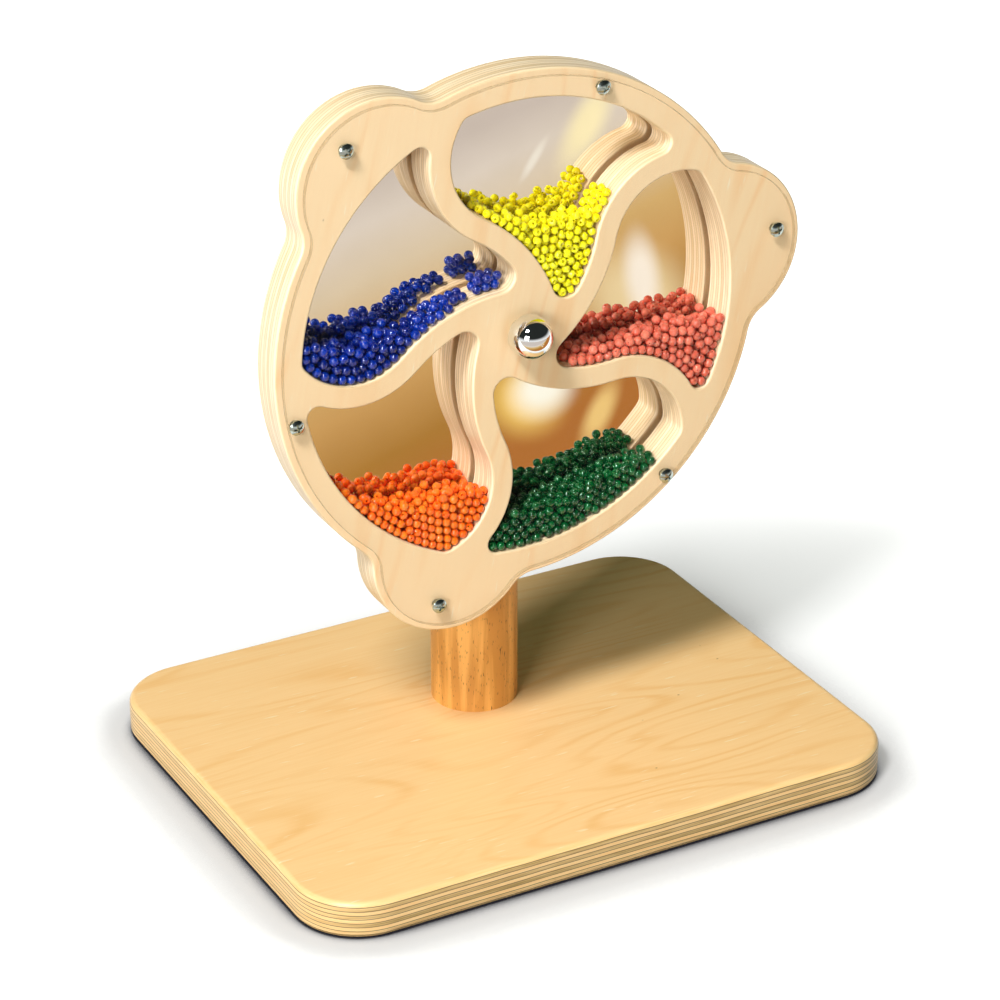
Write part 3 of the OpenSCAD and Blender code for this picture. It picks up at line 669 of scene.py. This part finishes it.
def lower_wall(wall, across):
    """Height of a chamber's lower wall at each x."""
    onward = np.roll(wall, -1, axis=0)
    heights = []
    for x in across:
        crossed = (wall[:, 0] > x) != (onward[:, 0] > x)
        (x0, z0), (x1, z1) = wall[crossed].T, onward[crossed].T
        heights.append(np.min(z0 + (z1 - z0) * (x - x0) / (x1 - x0)))
    return np.array(heights)


# Points along a trail's line, and how far beads lie off it and above each other, in bead sizes
TRAIL_POINTS = 200
TRAIL_LOOSE = 0.12
LAYER_RISE = 0.8


def trail(wall, start, stop, size, depths, layers, rng):
    """Beads left lying in rows along a chamber's lower wall, from one x to another."""
    across = np.linspace(start, stop, TRAIL_POINTS)
    line = np.column_stack((across, lower_wall(wall, across)))
    run = np.concatenate(([0], np.cumsum(np.linalg.norm(np.diff(line, axis=0), axis=1))))
    stops = np.arange(0, run[-1], size)
    row = np.column_stack([np.interp(stops, run, line[:, axis]) for axis in (0, 1)])
    rows = []
    for layer in range(layers):
        spots = wall_push(row, wall, size * (0.5 + LAYER_RISE * layer))
        for depth in depths:
            loose = rng.normal(0, TRAIL_LOOSE * size, (len(spots), 3))
            rows.append(np.column_stack((spots, np.full(len(spots), depth))) + loose)
    return np.concatenate(rows)


# Green and blue beads are clear and deep; the others are milky and glow with the light inside
yellow_bead = bead_plastic(
    "milky_yellow_bead", "#FFF424", "#FFEA08", Transmission_Weight=0.0, Subsurface_Weight=0.6,
    Subsurface_Radius=(3 * MM, 2.7 * MM, 0.4 * MM), Subsurface_Scale=1.0,
)
blue_bead = bead_plastic("clear_blue_bead", "#0848D8", "#001480", Transmission_Weight=0.6)
orange_bead = bead_plastic(
    "milky_orange_bead", "#FF7E1A", "#FF6006", Transmission_Weight=0.0, Subsurface_Weight=0.6,
    Subsurface_Radius=(3 * MM, 1.2 * MM, 0.3 * MM), Subsurface_Scale=1.0,
)
green_bead = bead_plastic("clear_green_bead", "#088A42", "#005024", Transmission_Weight=0.6)
coral_bead = bead_plastic(
    "milky_coral_bead", "#FF8A70", "#D06048", Transmission_Weight=0.15, Subsurface_Weight=0.6,
    Subsurface_Radius=(2 * MM, 0.8 * MM, 0.6 * MM), Subsurface_Scale=1.0,
)

# Each heap: its finish, number of beads, bead size and hole radius in millimetres, where the round ends are
# cut flat as a share of the radius (1 leaves only the hole), and the slope of its top towards +x
HEAPS = {
    "yellow": {"finish": yellow_bead, "count": 306, "size": 4.3, "hole": 0.6, "flat": 0.72, "lean": 0.0},
    "blue": {"finish": blue_bead, "count": 186, "size": 4.6, "hole": 0.45, "flat": 1, "lean": -0.1},
    "orange": {"finish": orange_bead, "count": 343, "size": 4.2, "hole": 0.45, "flat": 1, "lean": 0.0},
    "green": {"finish": green_bead, "count": 340, "size": 4.4, "hole": 0.6, "flat": 0.78, "lean": 0.13},
    "coral": {"finish": coral_bead, "count": 249, "size": 4.6, "hole": 0.4, "flat": 1, "lean": 0.1},
}
# Blue beads also lie in a trail towards the hub and in its tip: from x to x, in rows at these depths
TRAILS = {
    "blue": [
        {"start": -52 * MM, "stop": -23 * MM, "depths": (6.8 * MM, 11.4 * MM), "layers": 1},
        {"start": -19 * MM, "stop": -9 * MM, "depths": (6.8 * MM, 11.4 * MM), "layers": 2},
    ],
}
for number, (colour, heap) in enumerate(HEAPS.items()):
    rng = np.random.default_rng(FIRST_SEED + number)
    node = "beads_" + colour
    wall = chamber_of(node)
    size = heap["size"] * MM
    centres = settle(wall, heap["count"], size, heap["lean"], rng)
    for row in TRAILS.get(colour, []):
        laid = trail(wall, row["start"], row["stop"], size, row["depths"], row["layers"], rng)
        centres = np.concatenate((centres, laid))
    relax(centres, wall, size, near_pairs(centres, NEAR_SIZES * size), END_PASSES)
    bead_heap(
        node + "_drilled", node, heap["finish"],
        centres, size, heap["hole"] * MM, heap["flat"], rng,
    )


# Stage: pale floor, studio light and the camera at the photograph's angle

# The camera looks this far round to the toy's right
HEADING = math.radians(-28.50)


def seen_directly(tree):
    """Light Path factor that is 1 on camera, glossy and transmission rays, where the floor shows white."""
    path = add(tree, "LightPath", {}, {})
    both = add(tree, "Math", {"operation": "MAXIMUM"}, {
        0: path.outputs["Is Camera Ray"], 1: path.outputs["Is Glossy Ray"]})
    return add(tree, "Math", {"operation": "MAXIMUM"}, {0: both, 1: path.outputs["Is Transmission Ray"]})


def studio_floor():
    """Pale floor that keeps the shadow and reads white where it is lit. The dark line where the board meets
    it and the soft grey band beside that are painted shadow, drawn from how much of the sky is hidden near
    each spot."""
    half = 6.0
    painted_shadow_reach = 0.05
    corners = [(-half, -half, 0), (half, -half, 0), (half, half, 0), (-half, half, 0)]
    made, tree, shader = start_material("pale_floor_with_painted_contact_shadow", Roughness=0.9, Specular_IOR_Level=0.0)
    # Painted shadow: the floor's colour and glow darken where the board hides the sky
    occlusion_for_painted_shadow = add(tree, "AmbientOcclusion", {"samples": 16}, {"Distance": painted_shadow_reach})
    stops = {0.48: "#2A2A30", 0.58: "#A6A6A9", 0.66: "#CFCECE", 0.86: "#D6D5D5", 0.95: "#FFFFFF"}
    tone = colour_ramp(tree, occlusion_for_painted_shadow.outputs["AO"], stops)
    pale = add(tree, "Mix", {"data_type": "RGBA", "blend_type": "MULTIPLY"}, {
        "Factor": 1.0, "A": tone, "B": linear("#C4C4C4")})
    tree.links.new(pale.outputs[2], shader.inputs["Base Color"])
    place = add(tree, "TexCoord", {}, {})
    away = add(tree, "VectorMath", {"operation": "LENGTH"}, {0: place.outputs["Object"]})
    # Near the board the floor glows less, so that the shadow stays; farther off it glows white, over the
    # toy's own shadow as well
    level = add(tree, "MapRange", {"interpolation_type": "SMOOTHSTEP"}, {
        "Value": away.outputs["Value"], "From Min": 0.15, "From Max": 0.45, "To Min": 0.55, "To Max": 1.0})
    lift = add(tree, "Math", {"operation": "MULTIPLY"}, {0: seen_directly(tree), 1: level})
    tree.links.new(tone, shader.inputs["Emission Color"])
    tree.links.new(lift.outputs[0], shader.inputs["Emission Strength"])
    floor = build_mesh("studio_floor", corners, [(0, 1, 2, 3)], [made])


def painted_reflection_card():
    """Glowing card on the floor in front of the toy, seen only in mirrors: a painted reflection that gives
    the mirror sheet warm tones, brown close to the toy and pale grey farther off, with a few painted glints.
    Places on it are (across, along) as the mirror shows them."""
    low, high = (-4.0, -5.0, 0.001), (4.0, -0.20, 0.001)
    corners = [low, (high[0], low[1], low[2]), high, (low[0], high[1], low[2])]
    made, tree, shader = start_material("painted_mirror_reflection", Roughness=1.0, Specular_IOR_Level=0.0)
    shader.inputs["Base Color"].default_value = linear("#000000")
    # The card glows, though it is no lamp: its colours are a painted reflection
    shader.inputs["Emission Strength"].default_value = 1.25
    flat = add(tree, "TexCoord", {}, {})
    place = add(tree, "Mapping", {}, {"Vector": flat.outputs["Object"], "Rotation": (0, 0, HEADING)})
    near_end, far_end, across_share = -0.33, -0.88, -2.4
    run = near_end - far_end
    slope = add(tree, "VectorMath", {"operation": "DOT_PRODUCT"}, {0: place, 1: (across_share, -1 / run, 0)})
    share = add(tree, "Math", {"operation": "ADD", "use_clamp": True}, {
        0: slope.outputs["Value"], 1: near_end / run})
    colour = colour_ramp(tree, share, {
        0.0: "#B27238", 0.15: "#AE7E3A", 0.32: "#CCA062", 0.47: "#D4B074", 0.67: "#DCCBB0", 0.85: "#DED4CA",
        1.0: "#CBC0B9"})
    # Each painted glint: its middle, its half width across and along, its lean and its colour
    for spot, reach, lean, code in (
        ((0.013, -0.405), (0.019, 0.043), 0.0, "#FAD274"),
        ((0.023, -0.420), (0.016, 0.036), -0.1, "#FFFFF4"),
        ((0.056, -0.385), (0.007, 0.040), -0.2, "#F0CC84"),
        ((0.083, -0.560), (0.030, 0.070), 0.0, "#ECD6A8"),
        ((0.088, -0.590), (0.010, 0.065), 0.0, "#FBF2E6"),
        ((0.060, -0.870), (0.012, 0.080), -0.18, "#FFF3C6"),
        ((0.022, -0.800), (0.003, 0.036), -0.21, "#EFEAE0"),
    ):
        off = add(tree, "VectorMath", {"operation": "SUBTRACT"}, {0: place, 1: (*spot, 0)})
        across = add(tree, "VectorMath", {"operation": "DOT_PRODUCT"}, {
            0: off, 1: (1 / reach[0], -lean / reach[0], 0)})
        along = add(tree, "VectorMath", {"operation": "DOT_PRODUCT"}, {0: off, 1: (0, 1 / reach[1], 0)})
        scaled = add(tree, "CombineXYZ", {}, {0: across.outputs["Value"], 1: along.outputs["Value"]})
        away = add(tree, "VectorMath", {"operation": "LENGTH"}, {0: scaled})
        glow = add(tree, "MapRange", {"interpolation_type": "SMOOTHSTEP"}, {
            "Value": away.outputs["Value"], "From Min": 0.3, "From Max": 1.6, "To Min": 1.0, "To Max": 0.0})
        colour = add(tree, "Mix", {"data_type": "RGBA"}, {
            "Factor": glow, "A": colour, "B": linear(code)}).outputs[2]
    tree.links.new(colour, shader.inputs["Emission Color"])
    card = build_mesh("painted_reflection_card", corners, [(0, 1, 2, 3)], [made])
    card.visible_camera = False
    card.visible_diffuse = False
    card.visible_transmission = False
    card.visible_shadow = False


# Lamps stand this far from the point they shine at, the middle of the toy
LAMP_DISTANCE = 3.0
LAMP_AIM = (0, 0, 0.15)


def softbox(name, towards, size, power):
    """A square area lamp that shines along a direction at the middle of the toy."""
    lamp = bpy.data.lights.new(name, "AREA")
    lamp.energy = power
    lamp.size = size
    made = bpy.data.objects.new(name, lamp)
    way = Vector(towards).normalized()
    made.location = Vector(LAMP_AIM) - way * LAMP_DISTANCE
    made.rotation_euler = way.to_track_quat("-Z", "Y").to_euler()
    scene.collection.objects.link(made)


def studio_world():
    """White behind the toy, a dark studio overhead for mirrors and clear beads, and a low even fill."""
    world = bpy.data.worlds.new("studio_world")
    scene.world = world
    world.use_nodes = True
    tree = world.node_tree
    place = add(tree, "TexCoord", {}, {})
    way = add(tree, "SeparateXYZ", {}, {0: place.outputs["Generated"]})
    overhead = add(tree, "MapRange", {"interpolation_type": "SMOOTHSTEP"}, {
        "Value": way.outputs["Z"], "From Min": 0.0, "From Max": 0.25})
    studio = add(tree, "Mix", {"data_type": "RGBA"}, {
        "Factor": overhead, "A": linear("#FFFFFF"), "B": linear("#2A2E2C")})
    path = add(tree, "LightPath", {}, {})
    mirrored = add(tree, "Math", {"operation": "MAXIMUM"}, {
        0: path.outputs["Is Glossy Ray"], 1: path.outputs["Is Transmission Ray"]})
    unseen = add(tree, "Mix", {"data_type": "RGBA"}, {
        "Factor": mirrored, "A": linear("#56624A"), "B": studio.outputs[2]})
    colour = add(tree, "Mix", {"data_type": "RGBA"}, {
        "Factor": path.outputs["Is Camera Ray"], "A": unseen.outputs[2], "B": linear("#FFFFFF")})
    tree.links.new(colour.outputs[2], tree.nodes["Background"].inputs["Color"])


def studio_camera():
    """The photograph's view: place, heading, tilt and lens were fitted to the object's corners and screws."""
    lens = bpy.data.cameras.new("camera")
    lens.sensor_width = 36
    lens.lens = 125.9
    lens.clip_end = 20
    made = bpy.data.objects.new("camera", lens)
    made.location = (-0.6969, -1.2842, 0.8548)
    tilt, roll = math.radians(63.70), math.radians(-0.14)
    turn = Matrix.Rotation(HEADING, 3, "Z") @ Matrix.Rotation(tilt, 3, "X") @ Matrix.Rotation(roll, 3, "Z")
    made.rotation_euler = turn.to_euler()
    scene.collection.objects.link(made)
    scene.camera = made


studio_floor()
studio_world()
studio_camera()
painted_reflection_card()
softbox("key_softbox", (0.515, 0.325, -0.793), 0.6, 91)
softbox("fill_softbox", (0.74, 0.60, -0.30), 1.0, 45)
scene.view_settings.view_transform = "Standard"
